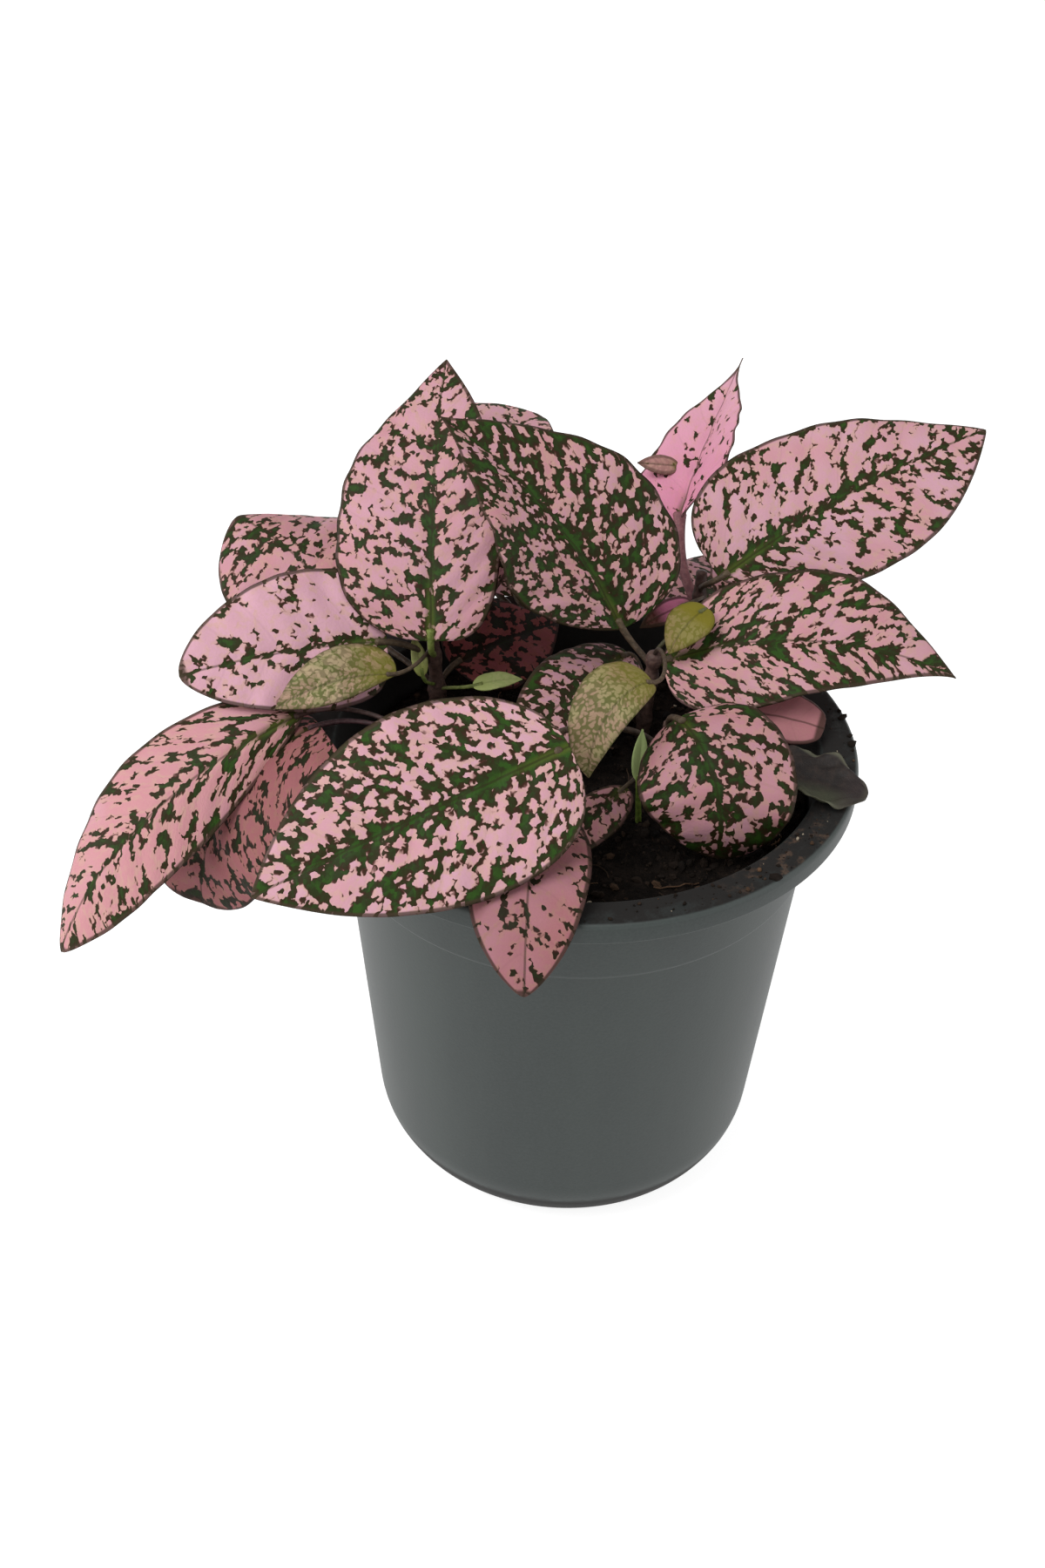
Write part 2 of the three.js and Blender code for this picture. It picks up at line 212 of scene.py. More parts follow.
# The leaf's upper side is green ground between merging round pink dots. A field in leaf millimetres
# decides: above 0 is green ground, thin bits of it are maroon, and below 0 is pink.
# field = amount of green + distance from the dots + blotches and crumbs in angular cells
#       + stripes on the side veins + green at the midrib and at the margin
def makeLeafFinish():
    skin = Finish("leafSkin", IOR=1.4, Specular_IOR_Level=0.2)
    use = leafPattern
    place = skin.read("leafPlace")
    margin, along, under = skin.parts(skin.read("leafShare"))
    green, rib, stripe = skin.parts(skin.read("leafHabit"))
    lilac, young, dullAndShade = skin.parts(skin.read("leafTone"))
    _, veinMm, vein = skin.parts(skin.read("veinPlace"))
    across, _, seed = skin.parts(place)

    drawnOut = skin.join(across * 1.05, veinMm, seed)
    drawnShare = (stripe * 5.0).math("MINIMUM", 1.0)
    stir = skin.vector("SUBTRACT", skin.noise(place, 0.7, 1.0, output="Color"), (0.5, 0.5, 0.5))
    stirred = skin.vector("ADD", skin.between(drawnShare, place, drawnOut), skin.stretch(stir, 1.6))
    angular = skin.between(use["pull"], stirred, skin.cells(stirred, use["cells"]))
    strewn = skin.vector("ADD", angular, skin.join(seed * 3.0, seed, 0.0))
    dots = skin.dots(strewn, use["dots"]) - use["usual"]
    specks = skin.dots(strewn, use["specks"]) - use["usual"]
    blotch = skin.noise(angular, 0.15, 1.0, 0.5) - 0.5
    crumb = skin.noise(angular, 0.5, 1.5, 0.6) - 0.5
    furrow = (vein * (2 * np.pi)).math("COSINE")

    fromRib = across.math("ABSOLUTE")
    ribReach = (1.0 - along) * 0.8 + 0.35
    ribLine = skin.ease(fromRib / ribReach, 1.4, 0.3)
    ribSplash = skin.ease(fromRib, 6.0, 0.3) * skin.ease(along, 1.0, 0.5)
    edgeLine = skin.ease(margin, 1.1, 0.65)
    edgeFleck = skin.ease(margin, 4.0, 0.4)

    field = (green + dots * 1.25 + specks * 0.5 + blotch * 1.2 + crumb * 1.2 + furrow * stripe
             + ribLine * rib * 0.4 + ribSplash * rib * 0.28 + edgeFleck * 0.17)

    ground = skin.ease(field, -0.02, 0.05)
    depth = skin.ramp(field, (0.0, hues["maroon"]), (0.08, hues["bark"]), (0.22, hues["olive"]),
                      (0.45, hues["green"]), (0.8, hues["brightGreen"]))
    wander = skin.noise(place, 0.09, 1.0) * 1.6 - 0.8
    warm = skin.ease(lilac + wander, -0.3, 0.9)
    splash = skin.blend(warm, hues["salmon"], hues["lilac"])
    splash = skin.blend(skin.ease(field, -0.4, -0.02) * 0.65, splash, hues["beige"])
    darkEnd = skin.ease(along, 0.4, 0.7) * skin.ease(lilac, 1.3, 1.5)
    striking = skin.blend(darkEnd, hues["hot"], hues["maroon"])
    splash = skin.blend(skin.ease(lilac - along * 0.2, 1.0, 1.4), splash, striking)
    speck = skin.ease(skin.noise(place, 1.5, 1.0), 0.3, 0.75)
    splash = skin.blend(speck * 0.2, splash, hues["beige"])
    colour = skin.blend(ground, splash, depth)
    atBase = skin.ease(along, 0.3, 0.02)
    colour = skin.blend(atBase * ribLine * 0.8, colour, hues["youngGreen"])

    # Young leaves: a fine green net on yellow green, flushed with pink brown
    net = skin.ease(skin.dots(stirred, use["net"]) + crumb * 0.6, 0.3, 0.55)
    flush = skin.ease(blotch + crumb * 0.4, -0.08, 0.08)
    pale = skin.blend(flush * 0.7, hues["youngPale"], hues["youngPink"])
    pale = skin.blend(net * 0.75, pale, hues["youngGreen"])
    pale = skin.blend(skin.ease(along, 0.5, 0.05) * 0.8 + lilac, pale, hues["golden"])
    pale = skin.blend(young - 1.0, pale, hues["bud"])
    colour = skin.blend(young, colour, pale)

    veinLine = skin.ease(furrow, 0.96, 1.0) * 0.06 + skin.ease(fromRib, 0.4, 0.1) * 0.6
    colour = skin.blend(veinLine * (1.0 - young * 0.45), colour, hues["olive"])
    colour = skin.blend(edgeLine * (0.85 - young * 0.7), colour, hues["margin"])
    # Darkening towards the shade colour: partly a blade's own duller tone, partly painted shade on the
    # blades that lie in the shadow of others
    colour = skin.blend(dullAndShade, colour, hues["shade"], "MULTIPLY")
    back = skin.blend(0.6, colour, hues["underside"])
    colour = skin.blend(under, colour, back)

    relief = skin.dots(stirred, 1.25) * -0.5 + skin.noise(place, 2.2, 2.0) * 0.35 - ground * 0.12
    return skin.done(colour, relief, 0.3, 0.0003, 0.62 - ground * 0.06 + speck * 0.06)


# Stalks: fresh green, or brown purple near the soil, or pink towards the leaf, with fine lines
def makeStalkFinish():
    skin = Finish("stalkSkin", Roughness=0.5, IOR=1.4, Specular_IOR_Level=0.3)
    pink, purple, fresh = skin.parts(skin.read("leafTone"))
    lines = skin.ease(skin.noise(skin.objectPlace(), 0.9, 3.0, 0.6), 0.35, 0.7)
    olive, green, dark, mauve = [
        skin.blend(lines, screen(*low), screen(*high)) for low, high in (
            ((62, 58, 38), (88, 80, 54)), ((84, 104, 38), (112, 130, 58)),
            ((40, 28, 30), (62, 44, 46)), ((128, 84, 90), (156, 108, 112)))]
    colour = skin.blend(fresh, olive, green)
    colour = skin.blend(purple, colour, dark)
    colour = skin.blend(pink, colour, mauve)
    return skin.done(colour, lines, 0.3, 0.0003)


# A withered leaf: dark brown with paler wrinkles, greener on one side, with a pale margin and a dark tip
def makeWitheredFinish():
    skin = Finish("witheredSkin", IOR=1.4)
    place = skin.read("leafPlace")
    margin, along, _ = skin.parts(skin.read("leafShare"))
    wrinkle = skin.noise(place, 0.35, 4.0, 0.65)
    colour = skin.blend(skin.ease(wrinkle, 0.4, 0.7), screen(28, 22, 20), screen(48, 38, 33))
    across = skin.parts(place)[0]
    colour = skin.blend(skin.ease(across, 0.0, 6.0) * 0.6, colour, screen(66, 70, 48))
    colour = skin.blend(skin.ease(margin, 0.9, 0.2) * 0.6, colour, screen(104, 104, 84))
    colour = skin.blend(skin.ease(along, 0.7, 0.9) * 0.7, colour, screen(44, 34, 34))
    return skin.done(colour, wrinkle, 0.6, 0.001, 0.45 + wrinkle * 0.4)


# Moulded plastic: satin slate grey with a fine grain and faint flow marks, dusted with soil inside and on
# the lip, with painted shade on the lip's top and a painted highlight along the lip's outer edge
def makePotFinish():
    skin = Finish("potPlastic", IOR=1.47, Specular_IOR_Level=0.45)
    place = skin.objectPlace()
    x, y, z = skin.parts(place)
    radius = (x * x + y * y).math("SQRT")
    grain = skin.noise(place, 1.6, 3.0, 0.6)
    flow = skin.noise(skin.vector("MULTIPLY", place, (0.05, 0.05, 0.012)), 1.0, 3.0, 0.6)
    dust = skin.noise(place, 0.2, 4.0, 0.7)
    slate = skin.blend(skin.ease(flow, 0.3, 0.7), screen(27, 36, 34), screen(34, 43, 40))
    slate = skin.blend(skin.ease(grain, 0.2, 0.9) * 0.08, slate, screen(110, 116, 114))
    wallMiddle = z * 0.101 + 41.3
    inside = skin.ease(radius - wallMiddle, 0.3, -0.3)
    onLip = skin.ease(z, 107.3, 107.9)
    # Painted highlight: a lighter line along the lip's outer edge
    lipEdgeHighlight = skin.ease(radius, 59.0, 59.5) * skin.ease(z, 106.6, 107.2)
    slate = skin.blend(lipEdgeHighlight * 0.35, slate, screen(80, 86, 84))
    upward = onLip * (1.0 - lipEdgeHighlight)
    nearSoil = skin.ease(radius, 57.5, 53.5)
    # Soil dust inside the pot and on the lip, and painted shade on the lip, share one darkening mask
    dustAndShade = skin.ease(dust + inside * 0.3 + upward * (0.05 + nearSoil * 0.2), 0.4, 0.6)
    dustAndShade = dustAndShade * inside.math("MAXIMUM", upward)
    # Painted shade: the top of the lip is darkened to a near black grey, darker than its lit outer side
    colour = skin.blend(upward * 0.8, slate, screen(22, 24, 23))
    colour = skin.blend(dustAndShade * 0.9, colour, screen(22, 19, 17))
    smear = skin.ease(skin.noise(place, 0.35, 4.0, 0.7), 0.5, 0.68)
    frontRight = skin.ease(x, 25.0, 40.0) * skin.ease(y, -15.0, -32.0)
    colour = skin.blend(smear * frontRight * upward * 0.7, colour, screen(84, 64, 50))
    rough = 0.42 + grain * 0.1 + dustAndShade * 0.3 + upward * 0.18
    return skin.done(colour, grain + dustAndShade * 0.5, 0.1, 0.0003, rough)


# Moist peat: near black, with brown fibres and a few pale grains
def makePeatFinish():
    skin = Finish("peat", Roughness=0.95, IOR=1.35, Specular_IOR_Level=0.15)
    place = skin.objectPlace()
    clump = skin.noise(place, 0.35, 4.0, 0.7)
    fleck = skin.ease(skin.noise(place, 1.3, 2.0, 0.6), 0.62, 0.72)
    colour = skin.blend(skin.ease(clump, 0.35, 0.7), screen(14, 11, 9), screen(31, 25, 21))
    colour = skin.blend(fleck * 0.4, colour, screen(66, 50, 38))
    return skin.done(colour, clump, 0.9, 0.002)


# Loose grains take their tone from the grain itself: peat, bark, or pale mineral
def makeGrainFinish():
    skin = Finish("grains", Roughness=0.9, IOR=1.4, Specular_IOR_Level=0.2)
    tone = skin.parts(skin.read("grainTone"))[0]
    rough = skin.noise(skin.objectPlace(), 1.8, 3.0, 0.6)
    colour = skin.ramp(tone + rough * 0.12 - 0.06, (0.0, screen(15, 12, 10)), (0.5, screen(44, 34, 27)),
                       (0.8, screen(96, 72, 54)), (1.0, screen(160, 148, 130)))
    return skin.done(colour, rough, 0.5, 0.0008)


finishes = dict(
    leaf=makeLeafFinish(), stalk=makeStalkFinish(), withered=makeWitheredFinish(),
    pot=makePotFinish(), peat=makePeatFinish(), grain=makeGrainFinish(),
)
print("finishes made")


# Object on a mesh, camera or light
def addObject(name, data):
    made = bpy.data.objects.new(name, data)
    bpy.context.collection.objects.link(made)
    return made


# Puts an object at a place in metres, with its own x, y and z along the given directions
def turnTo(made, x, y, z, place):
    columns = np.eye(4)
    for index, column in enumerate((x, y, z, place)):
        columns[:3, index] = column
    made.matrix_world = Matrix(columns.tolist())


# Points about the pot's axis, in mm
def polar(radius, angle, z):
    return np.stack([radius * np.cos(angle), radius * np.sin(angle), z + 0 * angle], -1)


# Closed form from rings of points: neighbouring rings are joined by four-sided faces, and each end
# is closed by a fan to its own point. Seen along the row of rings, each ring runs clockwise.
def closedRings(rings, firstPole, lastPole):
    count, around = rings.shape[:2]
    points = np.concatenate([rings.reshape(-1, 3), [firstPole, lastPole]])
    number = np.arange(count * around).reshape(count, around)
    beside = np.roll(number, -1, axis=1)
    quads = np.stack([number[:-1], beside[:-1], beside[1:], number[1:]], -1).reshape(-1, 4)
    first = np.full(around, count * around)
    start = np.stack([first, beside[0], number[0]], -1)
    end = np.stack([first + 1, number[-1], beside[-1]], -1)
    return dict(points=points, quads=quads, triangles=np.concatenate([start, end]))


# One mesh object from forms: each form has points in mm, faces, a finish and vector attributes
def makePiece(name, forms, materials):
    offset = 0
    corners = []
    sizes = []
    finishNumbers = []
    for form in forms:
        for faces in (form["quads"], form["triangles"]):
            corners.append((faces + offset).reshape(-1))
            sizes.append(np.full(len(faces), faces.shape[1]))
            finishNumbers.append(np.full(len(faces), form.get("finish", 0)))
        offset += len(form["points"])
    corners = np.concatenate(corners).astype(np.int32)
    sizes = np.concatenate(sizes).astype(np.int32)
    mesh = bpy.data.meshes.new(name)
    mesh.vertices.add(offset)
    places = np.concatenate([form["points"] for form in forms]) * metresPerMm
    mesh.vertices.foreach_set("co", places.astype(np.float32).reshape(-1))
    mesh.loops.add(len(corners))
    mesh.loops.foreach_set("vertex_index", corners)
    mesh.polygons.add(len(sizes))
    mesh.polygons.foreach_set("loop_start", (np.cumsum(sizes) - sizes).astype(np.int32))
    mesh.polygons.foreach_set("material_index", np.concatenate(finishNumbers).astype(np.int32))
    mesh.polygons.foreach_set("use_smooth", np.ones(len(sizes), bool))
    mesh.update(calc_edges=True)
    names = {key for form in forms for key in form.get("attributes", {})}
    for key in sorted(names):
        values = [form.get("attributes", {}).get(key, np.zeros((len(form["points"]), 3))) for form in forms]
        stored = mesh.attributes.new(key, "FLOAT_VECTOR", "POINT")
        stored.data.foreach_set("vector", np.concatenate(values).astype(np.float32).reshape(-1))
    mesh.validate()
    piece = addObject(name, mesh)
    for material in materials:
        mesh.materials.append(material)
    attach(piece, "root")
    return piece


# Round tube along a path of points, with a radius for each point. The ring's directions are
# carried along the path, each turned square to it.
def tube(path, radii, sides=12):
    path = np.asarray(path, float)
    ahead = np.gradient(path, axis=0)
    ahead /= np.linalg.norm(ahead, axis=1, keepdims=True)
    sideways = np.cross(ahead[0], (0.3, 0.9, 0.2))
    carried = []
    for direction in ahead:
        sideways = sideways - direction * (sideways @ direction)
        sideways = sideways / np.linalg.norm(sideways)
        carried.append(sideways)
    first = np.array(carried)
    second = np.cross(ahead, first)
    angle = 2 * np.pi * np.arange(sides) / sides
    ring = (np.cos(angle)[None, :, None] * first[:, None] + np.sin(angle)[None, :, None] * second[:, None])
    rings = path[:, None] + np.asarray(radii)[:, None, None] * ring
    return closedRings(rings, path[0] - ahead[0] * radii[0] * 0.3, path[-1] + ahead[-1] * radii[-1] * 0.3)


def bezier(start, leaving, arriving, end, steps):
    share = np.linspace(0, 1, steps)[:, None]
    back = 1 - share
    return (back ** 3 * start + 3 * back ** 2 * share * leaving
            + 3 * back * share ** 2 * arriving + share ** 3 * end)


# The shoots. Places in mm, angles in degrees, as in the part: at is the blade's base, turn and rise aim
# the midrib, roll turns the blade about it, droop bends it down. look holds what the finish of the
# blade reads, and stalkLook what its stalk's finish reads and how thin the stalk is.
# A look's darkening value stands partly for a duller tone and partly for painted shade: blades in the
# shadow of others get it in their colour
usualLook = dict(green=-0.15, rib=1.0, stripe=0.07, lilac=0.5, young=0.0, dullAndShade=0.0)
usualStalk = dict(pink=(0.0, 0.1), purple=(0.8, 0.1), fresh=0.0, thin=0.8)
shoots = dict(
    shoot_left=dict(foot=(-30, 20, 80), top=(-32, 17, 124), leaves=[
        dict(stalkFrom=116, at=(-32, 9.5, 126.5), turn=89, rise=41.5, long=65, wide=37.5, roll=18,
             droop=44, bend=-8, fold=5, shoulder=0.34, point=0.62, drip=0.71, skew=-0.21, twist=12,
             uneven=-0.15, look=dict(green=-0.14, rib=0.8, dullAndShade=0.2),
             stalkLook=dict(purple=(0.3, 0.0), fresh=1.0)),
        dict(stalkFrom=108, at=(-33.5, 34, 118.5), turn=56.5, rise=33.5, long=61.5, wide=42, roll=-6,
             droop=109, fold=10, shoulder=0.53, point=0.63, skew=-0.1, twist=-5, uneven=-0.2),
        dict(stalkFrom=110, at=(-41.5, 13, 123.8), turn=194, rise=-4, long=45, wide=31.5, roll=44,
             droop=17, fold=7, shoulder=0.25, point=0.55, drip=0.2, skew=0.12,
             look=dict(green=-0.35, rib=0.9, lilac=0.95)),
        dict(stalkFrom=104, at=(-52, 38, 114), turn=133.5, rise=9.5, long=42, wide=39, roll=26.5,
             droop=37, fold=-12, curl=0.3, point=0.47, drip=0.1, skew=0.07, twist=-39,
             look=dict(green=-0.18, rib=0.6, lilac=0.2, dullAndShade=0.2)),
        dict(stalkFrom=118, at=(-39, 6, 120), turn=203, rise=-4.5, long=28, wide=12.5, roll=39,
             droop=46, fold=17, shoulder=0.77, point=0.84, skew=0.2, uneven=-0.4,
             look=dict(green=-0.1, young=0.8, lilac=0.0)),
        dict(stalkFrom=104, at=(-28, 24, 110.5), turn=35, rise=2, long=29, wide=25, roll=-20, droop=20,
             look=dict(green=-0.2, lilac=0.3, dullAndShade=1.0)),
        dict(stalkFrom=106, at=(-23, 14, 112), turn=10, rise=5, long=11, wide=5, roll=-20, droop=20,
             fold=20, look=dict(young=1.6), stalkLook=dict(fresh=1.0)),
        dict(stalkFrom=108, at=(-34, 13, 115), turn=120, rise=60, long=9, wide=4, droop=20, fold=20,
             look=dict(young=1.4), stalkLook=dict(purple=(0.3, 0.0), fresh=1.0)),
    ]),
    shoot_centre=dict(foot=(14, 16, 80), top=(16, 14, 122), leaves=[
        dict(stalkFrom=116, at=(9, 18.5, 125), turn=162, rise=46, long=61.5, wide=47.5, roll=21,
             droop=26.5, bend=23.5, fold=22.5, shoulder=0.67, point=1.05, twist=-19, uneven=-0.33,
             look=dict(green=0.05, rib=0.9, stripe=0.1, lilac=0.4, dullAndShade=0.16)),
        dict(stalkFrom=114, at=(17.5, 14, 120), turn=3, rise=-4, long=67.5, wide=32.5, roll=-33.5,
             droop=54, bend=3, fold=9, shoulder=0.57, point=1, skew=-0.06, uneven=-0.5, wave=0.09,
             look=dict(green=-0.08, rib=0.5, stripe=0.15, lilac=0.2, dullAndShade=0.08)),
        dict(stalkFrom=104, at=(11, 28, 112.5), turn=237.5, rise=1.5, long=45, wide=22.5, roll=19,
             droop=16, fold=7, point=0.65, skew=-0.1, look=dict(green=0.0, rib=0.5, lilac=0.9, dullAndShade=0.3)),
        dict(stalkFrom=120, at=(14.5, -11.5, 132), turn=230, rise=-34, long=30.5, wide=13, roll=21.5,
             droop=136, fold=9, skew=0.3, uneven=-0.1, look=dict(young=0.95, lilac=0.0, dullAndShade=0.2)),
        dict(stalkFrom=121, at=(27, 19, 130.8), turn=225, rise=-30, long=14, wide=10.2, roll=10, droop=60,
             fold=10, look=dict(young=1.0, lilac=0.6, dullAndShade=0.25), stalkLook=dict(fresh=0.5)),
    ]),
    shoot_right=dict(foot=(26, 38, 80), top=(27, 41, 126), leaves=[
        dict(stalkFrom=120, at=(30.5, 34.5, 128.5), turn=34.5, rise=11.5, long=77.5, wide=40,
             roll=-32.5, droop=16, bend=-4, fold=2.5, shoulder=0.54, point=0.75, skew=-0.05,
             twist=22, uneven=0.42, look=dict(green=-0.2, stripe=0.1)),
        dict(stalkFrom=113, by=(21.6, 46, 119), stalk=1.4, at=(22, 58.5, 128), turn=65.5, rise=34,
             long=45, wide=30.5, roll=28, droop=-26.5, bend=-19, fold=30.5, shoulder=0.78, point=1.3,
             drip=1, skew=0.1, uneven=0.35, look=dict(green=-0.4, rib=0.5, lilac=1.25),
             stalkLook=dict(pink=(0.8, 1.0), purple=(0.3, 0.0))),
        dict(stalkFrom=116, at=(24.5, 30, 125), turn=200, rise=-20, long=13, wide=6, roll=30, droop=20,
             fold=10, look=dict(green=-0.9, rib=0.1, lilac=1.6)),
        dict(at=(22.5, 73.3, 134.3), turn=196, rise=12, long=10.5, wide=5, roll=40, fold=10,
             look=dict(green=-1.2, young=0.4, lilac=-0.4)),
        dict(stalkFrom=110, at=(34, 47, 114), turn=44, rise=-2, long=44, wide=28, droop=50),
        dict(stalkFrom=106, at=(27, 43, 111.5), turn=78, rise=-6, long=38, wide=27, droop=12),
    ]),
    shoot_front_left=dict(foot=(-24, -6, 80), top=(-28, -9, 108), leaves=[
        dict(stalkFrom=102, at=(-8.5, -26.8, 110), turn=268, rise=-36, long=50, wide=24.5, roll=-4,
             droop=100, late=2, bend=4, fold=6, shoulder=0.54, point=0.62, uneven=0.15,
             look=dict(green=-0.34, rib=0.5, lilac=0.1, dullAndShade=0.6)),
        dict(stalkFrom=104, at=(-58.5, 1.7, 112.6), turn=208, rise=-37, long=78.5, wide=26, roll=30.5,
             droop=68, bend=-17, fold=-7.5, shoulder=0.65, point=0.6, skew=0.07, twist=-23.5,
             uneven=-0.2, look=dict(green=-0.23, rib=0.6, stripe=0.16, lilac=-0.1, dullAndShade=0.08),
             stalkLook=dict(purple=(1.0, 0.7), thin=0.62)),
        dict(stalkFrom=102, at=(-55.2, -0.3, 111), turn=213, rise=-52.5, long=52.5, wide=38, roll=5,
             droop=80, bend=17, fold=8.5, shoulder=0.25, point=0.32, drip=0, skew=-0.08, twist=33.5,
             uneven=0.6, look=dict(green=-0.18, rib=0.8, stripe=0.16, lilac=-0.3, dullAndShade=0.75),
             stalkLook=dict(purple=(1.0, 1.0), thin=0.62)),
    ]),
    shoot_front_right=dict(foot=(17, -4, 80), top=(19, -3, 116), leaves=[
        dict(stalkFrom=104, by=(-14, -16, 124), at=(-2.5, -34.5, 132.5), turn=204.5, rise=-15,
             long=69, wide=41.5, roll=41, droop=7.5, bend=-6, fold=6.5, shoulder=0.45, point=0.75,
             uneven=0.2, look=dict(green=-0.04, rib=1.1, lilac=0.6)),
        dict(stalkFrom=112, at=(20, -11, 123), turn=295, rise=-49.5, long=38, wide=32.5, roll=-20.5,
             droop=135, bend=-3, fold=1, shoulder=0.42, point=0.51, drip=0, skew=-0.04, twist=-10,
             look=dict(green=-0.06, rib=1.2, stripe=0.12, lilac=0.25, dullAndShade=0.34)),
        dict(stalkFrom=106, at=(30.5, 8.5, 111.5), turn=347, rise=-1.5, long=23, wide=13.5, roll=-20,
             droop=22, fold=7, point=0.35, drip=0, skew=-0.07,
             look=dict(green=-1.2, rib=0.2, lilac=-0.4, dullAndShade=0.45)),
        dict(stalkFrom=104, at=(10, -15, 108), turn=233.5, rise=-13, long=26.5, wide=11, roll=13,
             droop=19, fold=7, shoulder=0.58, uneven=0.2, look=dict(green=-0.3, lilac=0.1, dullAndShade=0.4)),
        dict(stalkFrom=102.5, at=(37, -8, 108.5), turn=339, rise=0, long=25, wide=16.5, droop=17.5,
             fold=5, curl=-0.1, shoulder=0.62, point=0.4, drip=0.3, uneven=0.6, withered=True),
    ]),
    shoot_back=dict(foot=(-8, 42, 80), top=(-10, 46, 116), leaves=[
        dict(stalkFrom=108, at=(-14.5, 48, 113.5), turn=95, rise=4, long=56, wide=32, droop=50),
        dict(stalkFrom=104, at=(-2, 52, 112), turn=68, rise=-6, long=42, wide=28, droop=40),
        dict(stalkFrom=103, at=(-19, 52, 112), turn=128, rise=-2, long=46, wide=30, droop=40),
    ]),
    seedling=dict(foot=(13.4, -15.3, 86), top=(12.5, -15, 110.5), radius=0.7, leaves=[
        dict(at=(12.5, -15, 109.5), turn=84, rise=60, long=11, wide=3.6, droop=12, fold=20,
             look=dict(young=2.0)),
    ]),
)


# Directions at each share of the midrib: forward along it, across it, and out of the upper face
def midribFrame(leaf, share):
    rise = np.radians(leaf["rise"] + leaf.get("droop", 0) * (0.5 - share ** leaf.get("late", 1)))
    turn = np.radians(leaf["turn"] + leaf.get("bend", 0) * (share - 0.5))
    roll = np.radians(leaf.get("roll", 0) + leaf.get("twist", 0) * (share - 0.5))[..., None]
    forward = np.stack([np.cos(rise) * np.cos(turn), np.cos(rise) * np.sin(turn), np.sin(rise)], -1)
    level = np.stack([np.sin(turn), -np.cos(turn), 0 * turn], -1)
    above = np.cross(level, forward)
    across = level * np.cos(roll) + above * np.sin(roll)
    face = above * np.cos(roll) - level * np.sin(roll)
    return forward, across, face


# Half the width on one side of the midrib, -1 or 1: share^shoulder * (1 - share)^point, scaled to its
# fullest, narrowed to a drip tip. An uneven blade has another shoulder on each side.
def halfWidth(leaf, share, side):
    shoulder = leaf.get("shoulder", 0.5) * (1 + leaf.get("uneven", 0) * side)
    point = leaf.get("point", 0.8)
    widest = shoulder / (shoulder + point)
    fullest = widest ** shoulder * (1 - widest) ** point
    outline = share ** shoulder * (1 - share) ** point / fullest
    return np.maximum(leaf["wide"] / 2 * outline * (1 - leaf.get("drip", 0.4) * share ** 8), 0.25)


bladeMake = dict(
    thickness=0.45,     # mm at the midrib
    quilt=0.024,        # height of the cushions between side veins, as a share of the half width
    groove=0.5,         # mm depth of the midrib's furrow
    veinsPerMm=0.115,   # side veins on each side, for each mm of length
    veinLean=0.3,       # how far a side vein runs forward before it meets the margin
)


